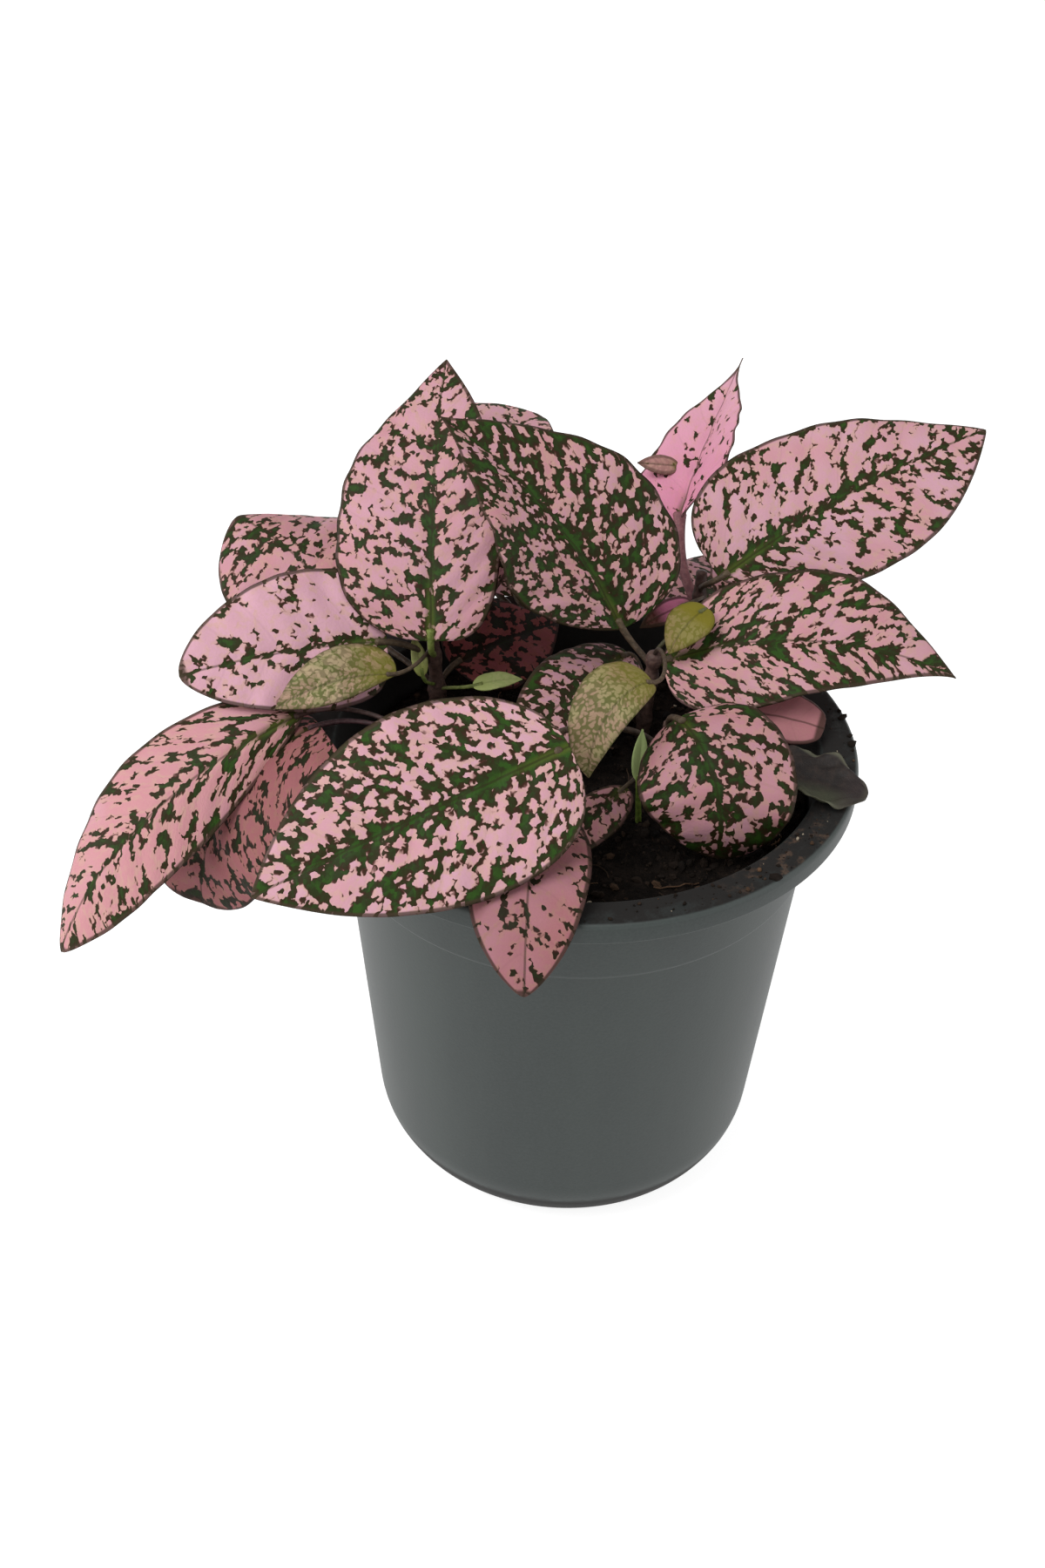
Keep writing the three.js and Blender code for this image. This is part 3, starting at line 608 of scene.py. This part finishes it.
# The blade: a midrib of short steps, and across it two slopes (fold), a curl (side squared), a waved
# margin, cushions between the side veins and a furrow on the midrib. Rings go over the upper face
# and back under the lower one; the thickness fades to the margin.
def blade(leaf, seed):
    big = leaf["wide"] > 16
    rows = 84 if big else 36
    columns = 40 if big else 16
    even = np.linspace(0, 1, rows + 2)[1:-1]
    share = 0.45 * even + 0.55 * (0.5 - 0.5 * np.cos(np.pi * even))
    fine = 240
    steps, _, _ = midribFrame(leaf, (np.arange(fine) + 0.5) / fine)
    walked = np.concatenate([[[0, 0, 0]], np.cumsum(steps, 0)])
    midrib = np.array(leaf["at"], float) + walked * leaf["long"] / fine
    centre = np.stack([np.interp(share, np.linspace(0, 1, fine + 1), midrib[:, k]) for k in range(3)], -1)
    forward, across, face = midribFrame(leaf, share)

    side = np.linspace(-1, 1, columns + 1)
    side = 0.6 * side + 0.4 * np.sin(side * np.pi / 2)
    s = side[None, :]
    t = share[:, None]
    half = np.where(s < 0, halfWidth(leaf, share, -1)[:, None], halfWidth(leaf, share, 1)[:, None])
    half = half * (1 + leaf.get("skew", 0) * np.sign(s))
    fold = np.radians(leaf.get("fold", 8))
    spread = np.sqrt(s * s + 0.0016) - 0.04
    wave = leaf.get("wave", 0.05) * np.sin(4 * np.pi * t + 1.8 * (s > 0))
    wave = wave + 0.018 * np.sin(15 * np.pi * t + seed + 2.2 * (s > 0)) * np.abs(s)
    if leaf.get("withered"):
        wave = wave + 0.16 * np.sin(17 * t + 3 * s) * np.cos(9 * s + 4 * t)
    lift = half * (spread * np.sin(fold) + s * s * (wave - leaf.get("curl", 0.15)))
    slender = np.minimum(1, half / (0.18 * leaf["long"])) ** 0.5
    lean = bladeMake["veinLean"] * np.abs(s) ** 1.25 * (0.35 + 0.65 * (1 - t)) * slender
    veinCount = max(4.0, bladeMake["veinsPerMm"] * leaf["long"])
    veinNumber = (t - lean) * veinCount + 0.35 * np.clip(6 * s + 0.5, 0, 1)
    rim = np.clip((1 - np.abs(s)) * 5, 0, 1) * np.clip(8 * t, 0, 1) * np.clip(6 * (1 - t), 0, 1)
    x = s * half
    cushion = bladeMake["quilt"] * half * (0.5 - 0.5 * np.cos(2 * np.pi * veinNumber)) * rim
    furrow = bladeMake["groove"] * np.exp(-(x / 0.9) ** 2) * np.clip(1.2 - t, 0, 1)
    furrow = furrow * min(1, leaf["wide"] / 30)
    lift = lift + (cushion - furrow) * np.clip(half / 3, 0, 1)
    middle = (centre[:, None] + (x * np.cos(fold))[..., None] * across[:, None]
              + lift[..., None] * face[:, None])
    alongRow = np.gradient(middle, axis=0)
    acrossRow = np.gradient(middle, axis=1)
    normal = np.cross(acrossRow, alongRow)
    normal /= np.linalg.norm(normal, axis=2, keepdims=True) + 1e-12
    taper = np.sqrt(np.clip(1 - np.abs(side) ** 6, 0, 1))[None, :, None]
    thick = bladeMake["thickness"] / 2 * taper * np.clip(half / 2, 0.3, 1)[..., None]
    upper = middle + normal * thick
    lower = (middle - normal * thick)[:, -2:0:-1]
    rings = np.concatenate([upper, lower], 1)
    form = closedRings(rings, midrib[0], midrib[-1])

    def around(values, ends=(0.0, 0.0)):
        values = np.broadcast_to(values, middle.shape[:2])
        ring = np.concatenate([values, values[:, -2:0:-1]], 1).reshape(-1)
        return np.append(ring, ends)

    onUnder = np.concatenate([np.zeros((rows, columns + 1)), np.ones((rows, columns - 1))], 1).reshape(-1)
    look = {**usualLook, **leaf.get("look", {})}
    marginMm = np.minimum(half * (1 - np.abs(s)), (1 - t) * leaf["long"] * 0.5)
    veinMm = veinNumber * leaf["long"] / veinCount
    vectors = dict(
        leafPlace=(around(x), around(t * leaf["long"], (0, leaf["long"])), 7.3 * seed),
        leafShare=(around(marginMm), around(t, (0, 1)), np.append(onUnder, (0, 0))),
        veinPlace=(around(s), around(veinMm), around(veinNumber)),
        leafHabit=(look["green"], look["rib"], look["stripe"]),
        # The last tone value is the blade's darkening: its own duller tone and painted shade
        leafTone=(look["lilac"], look["young"], look["dullAndShade"]),
    )
    nought = np.zeros(len(form["points"]))
    form["attributes"] = {key: np.stack([part + nought for part in parts], -1)
                          for key, parts in vectors.items()}
    form["finish"] = 2 if leaf.get("withered") else 0
    kept = slice(2, int(rows * 0.88), 3)
    ridgeRadii = np.linspace(0.75, 0.12, len(share[kept])) * np.clip(leaf["wide"] / 30, 0.35, 1)
    ridge = middle[kept, columns // 2] - face[kept] * ridgeRadii[:, None] * 0.85
    return form, ridge, ridgeRadii


def stemCurve(shoot, steps):
    foot = np.array(shoot["foot"], float)
    top = np.array(shoot["top"], float)
    lean = top - foot
    return bezier(foot, foot + (0, 0, 0.45 * lean[2]), top - 0.25 * lean, top, steps)


# Leafstalk: leaves the stem along it, and arrives along the blade's midrib or from the point named by
def leafstalkCurve(shoot, leaf, steps):
    stem = stemCurve(shoot, 200)
    along = np.gradient(stem, axis=0)
    nearest = int(np.argmin(np.abs(stem[:, 2] - leaf["stalkFrom"])))
    start = stem[nearest]
    tangent = along[nearest] / np.linalg.norm(along[nearest])
    base = np.array(leaf["at"], float)
    reach = np.linalg.norm(base - start)
    forward = midribFrame(leaf, np.array([0.0]))[0][0]
    arriving = np.array(leaf.get("by", base - forward * 0.4 * reach), float)
    return bezier(start, start + tangent * 0.35 * reach, arriving,
                  base + forward * min(2.5, 0.2 * leaf["long"]), steps)


# A stalk's form, with how pink, purple and fresh green it is, the first two from its start to its end
def stalk(path, radii, pink, purple, fresh=0.0, sides=12):
    form = tube(path, radii, sides)
    share = np.append(np.repeat(np.linspace(0, 1, len(path)), sides), (0, 1))
    purpleAlong = purple[0] + (purple[1] - purple[0]) * share
    pinkAlong = pink[0] + (pink[1] - pink[0]) * share
    form["attributes"] = dict(leafTone=np.stack([pinkAlong, purpleAlong, fresh + 0 * share], -1))
    form["finish"] = 1
    return form


seed = 0
for name, shoot in shoots.items():
    thick = shoot.get("radius", 1.6)
    path = stemCurve(shoot, 60)
    radii = np.linspace(thick * 1.1, thick * 0.8, 60)
    for leaf in shoot["leaves"]:
        if "stalkFrom" in leaf:
            radii = radii + 0.35 * np.exp(-((path[:, 2] - leaf["stalkFrom"]) / 1.2) ** 2)
    young = name == "seedling"
    tones = ((0, 0), (0, 0), 1.0) if young else ((0, 0.15), (0.8, 0.6))
    forms = [stalk(path, radii, *tones)]
    for leaf in shoot["leaves"]:
        seed += 1
        bladeForm, ridge, ridgeRadii = blade(leaf, seed)
        forms.append(bladeForm)
        size = np.clip(leaf["wide"] / 30, 0.35, 1)
        if leaf["wide"] > 10:
            forms.append(stalk(ridge, ridgeRadii, (0.3, 0.9), (0.1, 0.0), sides=8))
        if "stalkFrom" in leaf:
            stalkPath = leafstalkCurve(shoot, leaf, 40)
            bulge = 1.15 - 0.3 * np.sin(np.pi * np.linspace(0, 1, 40)) ** 0.5
            tone = {**usualStalk, **leaf.get("stalkLook", {})}
            thin = leaf.get("stalk", tone["thin"] * size ** 0.5)
            forms.append(stalk(stalkPath, thin * bulge, tone["pink"], tone["purple"], tone["fresh"]))
    materials = [finishes["leaf"], finishes["stalk"], finishes["withered"]]
    piece = makePiece(name + "_fine", forms, materials)
    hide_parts(name)
    print(name, "has", len(shoot["leaves"]), "leaves and", len(piece.data.polygons), "faces")


# Pot

pot = dict(
    outline=[  # radius and height in mm, with the rounding of each corner
        (12, 0, 0.2), (13, 2, 0.3), (26, 2, 0.3), (27, 0, 0.3), (30, 0, 1.2),
        (35.5, 2.2, 4), (40, 6.2, 4), (43, 12, 4),
        (50.4, 85.7, 0.3), (51.3, 86.5, 0.5),
        (53, 103.2, 0.8), (53.2, 106.4, 0.6),
        (58.8, 106.4, 0.6), (58.8, 103.2, 0.4),
        (60, 103.2, 0.4), (60, 107.2, 0.7), (59, 108, 0.9),
        (53, 108, 0.9), (51.9, 107.2, 1.0),
        (49.2, 86.5, 1.5), (41.8, 12.6, 4), (39.1, 7.6, 4), (34.6, 3.9, 3),
        (27, 3.4, 0.4), (12.6, 3.4, 0.4), (11.6, 1.4, 0.4),
    ],
    around=240,
    holes=8, holeRadius=3.5, holeCircle=20.0, slotWidth=7.0, slotHeight=1.8, slotReach=39.0,
)


# Profile with each corner rounded: a quadratic curve from a point before it to one after it
def roundedProfile(outline, steps=6):
    corners = np.array([corner[:2] for corner in outline], float)
    rounding = np.array([corner[2] for corner in outline], float)
    places = []
    for index, corner in enumerate(corners):
        before = corners[index - 1] if index else np.array([0.0, corner[1]])
        after = corners[index + 1] if index + 1 < len(corners) else np.array([0.0, corner[1]])
        back = (before - corner) * min(0.45, rounding[index] / np.linalg.norm(before - corner))
        on = (after - corner) * min(0.45, rounding[index] / np.linalg.norm(after - corner))
        share = np.linspace(0, 1, steps)[:, None]
        places.append(corner + back * (1 - share) ** 2 + on * share ** 2)
    return np.concatenate(places)


# Solid of revolution: each point of the profile becomes a ring, and both ends close on the axis
def revolve(profile, around):
    angle = 2 * np.pi * np.arange(around) / around
    rings = polar(profile[:, :1], angle, profile[:, 1:])
    return closedRings(rings, (0, 0, profile[0, 1]), (0, 0, profile[-1, 1]))


# Solid to cut out of the floor: for each hole a bore through the raised ring and a slot under the foot
def makeDrainCutter():
    boxFaces = [(0, 3, 2, 1), (4, 5, 6, 7), (0, 1, 5, 4), (1, 2, 6, 5), (2, 3, 7, 6), (3, 0, 4, 7)]
    points = []
    faces = []
    for hole in range(pot["holes"]):
        turn = 2 * np.pi * (hole + 0.5) / pot["holes"]
        out = np.array([np.cos(turn), np.sin(turn), 0])
        beside = np.array([-np.sin(turn), np.cos(turn), 0])
        centre = out * pot["holeCircle"]
        bore = tube([centre - (0, 0, 2), centre + (0, 0, 5)], [pot["holeRadius"]] * 2, 32)
        faces += (bore["quads"] + len(points)).tolist() + (bore["triangles"] + len(points)).tolist()
        points += bore["points"].tolist()
        faces += (np.array(boxFaces) + len(points)).tolist()
        halfSlot = pot["slotWidth"] / 2
        inner, outer = pot["holeCircle"], pot["slotReach"]
        corners = ((inner, -halfSlot), (outer, -halfSlot), (outer, halfSlot), (inner, halfSlot))
        for z in (-1.0, pot["slotHeight"]):
            for radius, shift in corners:
                points.append((out * radius + beside * shift + (0, 0, z)).tolist())
    mesh = bpy.data.meshes.new("drain_cutter")
    mesh.from_pydata((np.array(points) * metresPerMm).tolist(), [], faces)
    return addObject("drain_cutter", mesh)


# The pot is its profile turned about the axis, less the drain
def makePot():
    profile = roundedProfile(pot["outline"])
    form = revolve(profile, pot["around"])
    piece = makePiece("pot_fine", [form], [finishes["pot"]])
    cutter = makeDrainCutter()
    cut = piece.modifiers.new("drain", "BOOLEAN")
    cut.operation = "DIFFERENCE"
    cut.solver = "EXACT"
    cut.use_self = True
    cut.object = cutter
    bpy.context.view_layer.update()
    drained = bpy.data.meshes.new_from_object(piece.evaluated_get(bpy.context.evaluated_depsgraph_get()))
    piece.modifiers.clear()
    whole = piece.data
    piece.data = drained
    bpy.data.meshes.remove(whole)
    bpy.data.objects.remove(cutter)
    drained.set_sharp_from_angle(angle=np.radians(30))
    return piece


potPiece = makePot()
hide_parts("pot")
print("pot made with", len(potPiece.data.polygons), "faces")


# Value noise: random numbers on a square lattice, eased between its points, summed over octaves
def roughness(x, y, size, octaves, seed):
    table = np.random.default_rng(seed).random((64, 64))
    total = np.zeros_like(x)
    for octave in range(octaves):
        u = x / size * 2 ** octave + 31
        v = y / size * 2 ** octave + 17
        i = np.floor(u).astype(int)
        j = np.floor(v).astype(int)
        a = (u - i) ** 2 * (3 - 2 * (u - i))
        b = (v - j) ** 2 * (3 - 2 * (v - j))
        low = table[i % 64, j % 64] * (1 - a) + table[(i + 1) % 64, j % 64] * a
        high = table[i % 64, (j + 1) % 64] * (1 - a) + table[(i + 1) % 64, (j + 1) % 64] * a
        total += ((low * (1 - b) + high * b) - 0.5) * 0.5 ** octave
    return total


soil = dict(
    edgeRadius=49.6, level=99.6, edgeLevel=96.5, rings=90, around=220, roughness=2.4, bottom=3.8,
    wall=[(34.2, 4.4), (38.6, 8.2), (41.3, 13.0), (48.5, 84.0), (49.3, 93.0)],
)


# Soil height: a low mound, broad heaps and crumbly noise
def soilHeight(x, y):
    share = np.hypot(x, y) / soil["edgeRadius"]
    mound = soil["edgeLevel"] + (soil["level"] - soil["edgeLevel"]) * (1 - share ** 2)
    heap = 0.5 * np.sin(0.21 * x + 1.1) * np.cos(0.17 * y - 0.4) + 0.35 * np.sin(0.37 * y + 0.23 * x)
    fade = np.clip(6 * (1 - share), 0, 1)
    return mound + (heap + soil["roughness"] * roughness(x, y, 5.0, 4, 11)) * fade


# The soil's top is a disc of rings with that height; its wall follows the pot's inside
def makeSoil():
    share = np.linspace(1, 0, soil["rings"] + 1)[:-1]
    radius = soil["edgeRadius"] * share
    angle = 2 * np.pi * np.arange(soil["around"]) / soil["around"]
    x = radius[:, None] * np.cos(angle)
    y = radius[:, None] * np.sin(angle)
    top = np.stack([x, y, soilHeight(x, y)], -1)
    wall = np.array(soil["wall"])
    below = polar(wall[:, :1], angle, wall[:, 1:])
    middle = float(soilHeight(np.zeros(1), np.zeros(1))[0])
    form = closedRings(np.concatenate([below, top]), (0, 0, soil["bottom"]), (0, 0, middle))
    return makePiece("soil_fine", [form], [finishes["peat"]])


soilPiece = makeSoil()
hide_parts("soil")
print("soil made")


# Grains: a twenty-sided lump for each, its corners pushed in and out, stretched, turned and placed
def grains(places, sizes, tones, seed):
    draw = np.random.default_rng(seed)
    golden = (1 + 5 ** 0.5) / 2
    base = np.array([(-1, golden, 0), (1, golden, 0), (-1, -golden, 0), (1, -golden, 0),
                     (0, -1, golden), (0, 1, golden), (0, -1, -golden), (0, 1, -golden),
                     (golden, 0, -1), (golden, 0, 1), (-golden, 0, -1), (-golden, 0, 1)]) / 1.9
    faces = np.array([(0, 11, 5), (0, 5, 1), (0, 1, 7), (0, 7, 10), (0, 10, 11), (1, 5, 9), (5, 11, 4),
                      (11, 10, 2), (10, 7, 6), (7, 1, 8), (3, 9, 4), (3, 4, 2), (3, 2, 6), (3, 6, 8),
                      (3, 8, 9), (4, 9, 5), (2, 4, 11), (6, 2, 10), (8, 6, 7), (9, 8, 1)])
    count = len(places)
    pushed = base[None] * draw.uniform(0.7, 1.25, (count, 12, 1))
    pushed = pushed * draw.uniform(0.55, 1.2, (count, 1, 3))
    turn, _ = np.linalg.qr(draw.normal(size=(count, 3, 3)))
    turn *= np.sign(np.linalg.det(turn))[:, None, None]
    points = np.einsum("nij,nkj->nki", turn, pushed) * sizes[:, None, None] + places[:, None]
    triangles = (faces[None] + 12 * np.arange(count)[:, None, None]).reshape(-1, 3)
    tone = np.repeat(tones, 12)
    return dict(points=points.reshape(-1, 3), quads=np.zeros((0, 4), int), triangles=triangles,
                attributes=dict(grainTone=np.stack([tone, tone, tone], -1)))


# Thin curved root fibres lying on the soil
def fibres(count, seed):
    draw = np.random.default_rng(seed)
    forms = []
    for _ in range(count):
        angle = draw.uniform(0, 2 * np.pi)
        radius = 46 * draw.uniform(0, 1) ** 0.5
        heading = draw.uniform(0, 2 * np.pi)
        length = draw.uniform(4, 13)
        along = np.linspace(0, 1, 9)
        bow = draw.uniform(-0.35, 0.35) * length * np.sin(np.pi * along)
        x = radius * np.cos(angle) + length * (along - 0.5) * np.cos(heading) - bow * np.sin(heading)
        y = radius * np.sin(angle) + length * (along - 0.5) * np.sin(heading) + bow * np.cos(heading)
        inside = np.minimum(1, 48.5 / np.hypot(x, y))
        x, y = x * inside, y * inside
        path = np.stack([x, y, soilHeight(x, y) + 0.2 + 0.5 * np.sin(np.pi * along)], -1)
        form = tube(path, np.full(9, draw.uniform(0.1, 0.22)), 5)
        tone = draw.uniform(0.3, 0.85)
        form["attributes"] = dict(grainTone=np.full((len(form["points"]), 3), tone))
        forms.append(form)
    return forms


loose = dict(
    crumbs=1700, crumbReach=48.6, fibres=70, spilt=150, lip=(53.4, 59.0), lipHeight=108,
    clodRadius=58.9, clodAngles=(2.0, 5.0, 11.5, 14.0, -48.0), clodSizes=(1.1, 0.8, 1.2, 0.7, 1.3),
)


# Crumbs strewn evenly over the soil, most of them small, and the fibres
def makeCrumbs():
    draw = np.random.default_rng(23)
    count = loose["crumbs"]
    angle = draw.uniform(0, 2 * np.pi, count)
    radius = loose["crumbReach"] * draw.uniform(0, 1, count) ** 0.5
    x = radius * np.cos(angle)
    y = radius * np.sin(angle)
    sizes = 0.35 + 1.1 * draw.uniform(0, 1, count) ** 3
    tones = np.clip(draw.normal(0.22, 0.16, count), 0, 0.8)
    tones[draw.uniform(0, 1, count) < 0.02] = 1.0
    places = np.stack([x, y, soilHeight(x, y) + 0.25 * sizes], -1)
    forms = [grains(places, sizes, tones, 5)] + fibres(loose["fibres"], 29)
    piece = makePiece("soil_crumbs", forms, [finishes["grain"]])
    piece.data.polygons.foreach_set("use_smooth", np.zeros(len(piece.data.polygons), bool))
    return piece


# Crumbs that were spilt on the lip, most of them at the right and in front, and clods on its edge
def makeLipDebris():
    draw = np.random.default_rng(41)
    count = loose["spilt"]
    angle = np.radians(np.where(draw.uniform(0, 1, count) < 0.7, draw.normal(-35, 28, count),
                                draw.uniform(0, 360, count)))
    radius = draw.uniform(*loose["lip"], count)
    sizes = 0.16 + 0.5 * draw.uniform(0, 1, count) ** 4
    tones = np.clip(draw.normal(0.35, 0.2, count), 0, 0.9)
    tones[draw.uniform(0, 1, count) < 0.03] = 1.0
    places = polar(radius, angle, loose["lipHeight"] + 0.35 * sizes)
    clodSizes = np.array(loose["clodSizes"])
    clodAngles = np.radians(loose["clodAngles"])
    clods = polar(loose["clodRadius"], clodAngles, loose["lipHeight"] + 0.2 * clodSizes)
    forms = [grains(places, sizes, tones, 6), grains(clods, clodSizes, np.full(len(clods), 0.15), 7)]
    return makePiece("lip_debris", forms, [finishes["grain"]])


makeCrumbs()
makeLipDebris()
print("crumbs, fibres and lip debris made")


# Camera: from the target back along the line of sight, then turned about it
def placeCamera():
    rise = np.radians(camera["elevation"])
    roll = np.radians(camera["roll"])
    back = np.array([0, -np.cos(rise), np.sin(rise)])
    right = np.array([1.0, 0, 0])
    up = np.cross(back, right)
    rolledRight = np.cos(roll) * right + np.sin(roll) * up
    rolledUp = np.cos(roll) * up - np.sin(roll) * right
    eye = (np.array(camera["target"]) + back * camera["distance"]) * metresPerMm
    data = bpy.data.cameras.new("camera")
    data.sensor_fit = "VERTICAL"
    data.sensor_height = 36.0
    data.lens = camera["focal"] * data.sensor_height / imageSize[1]
    data.clip_start = 0.01
    bpy.context.scene.camera = addObject("camera", data)
    turnTo(bpy.context.scene.camera, rolledRight, rolledUp, back, eye)


lights = [  # place and aim in metres, size in metres, power in watts
    dict(name="key", place=(-0.45, -0.35, 0.95), aim=(0, 0, 0.1), size=0.7, power=7.5),
    dict(name="right", place=(0.75, -0.15, 0.45), aim=(0, 0, 0.08), size=0.5, power=1.2),
    dict(name="left", place=(-0.85, -0.1, 0.3), aim=(0, 0, 0.06), size=0.5, power=2.0),
]


white = (1.0, 1.0, 1.0, 1.0)
studio = dict(skyStrength=0.5, floorReach=6000.0, floorGlow=0.85, floorGreys=(0.4, 0.42))


def placeLights():
    for light in lights:
        data = bpy.data.lights.new(light["name"], "AREA")
        data.size = light["size"]
        data.energy = light["power"]
        place = np.array(light["place"])
        away = place - np.array(light["aim"])
        away = away / np.linalg.norm(away)
        side = np.cross((0, 0, 1), away)
        side = side / np.linalg.norm(side)
        turnTo(addObject(light["name"], data), side, np.cross(away, side), away, place)
    world = bpy.data.worlds.new("studio")
    bpy.context.scene.world = world
    world.use_nodes = True
    sky = world.node_tree.nodes["Background"]
    sky.inputs[0].default_value = white
    sky.inputs[1].default_value = studio["skyStrength"]


def placeFloor():
    ring = np.array([(-1, -1, 0), (1, -1, 0), (1, 1, 0), (-1, 1, 0)]) * studio["floorReach"]
    mesh = bpy.data.meshes.new("floor")
    mesh.from_pydata((ring * metresPerMm).tolist(), [], [(0, 1, 2, 3)])
    floor = addObject("floor", mesh)
    paint = Finish("floorPaint", Roughness=0.9, Emission_Color=white, Emission_Strength=studio["floorGlow"])
    cloud = paint.noise(paint.objectPlace(), 0.004, 2.0)
    dark, light = [(grey, grey, grey, 1.0) for grey in studio["floorGreys"]]
    paint.feed("Base Color", paint.blend(cloud, dark, light))
    mesh.materials.append(paint.material)


placeCamera()
placeLights()
placeFloor()
bpy.context.scene.view_settings.view_transform = "Standard"
print("camera, lights and floor placed")
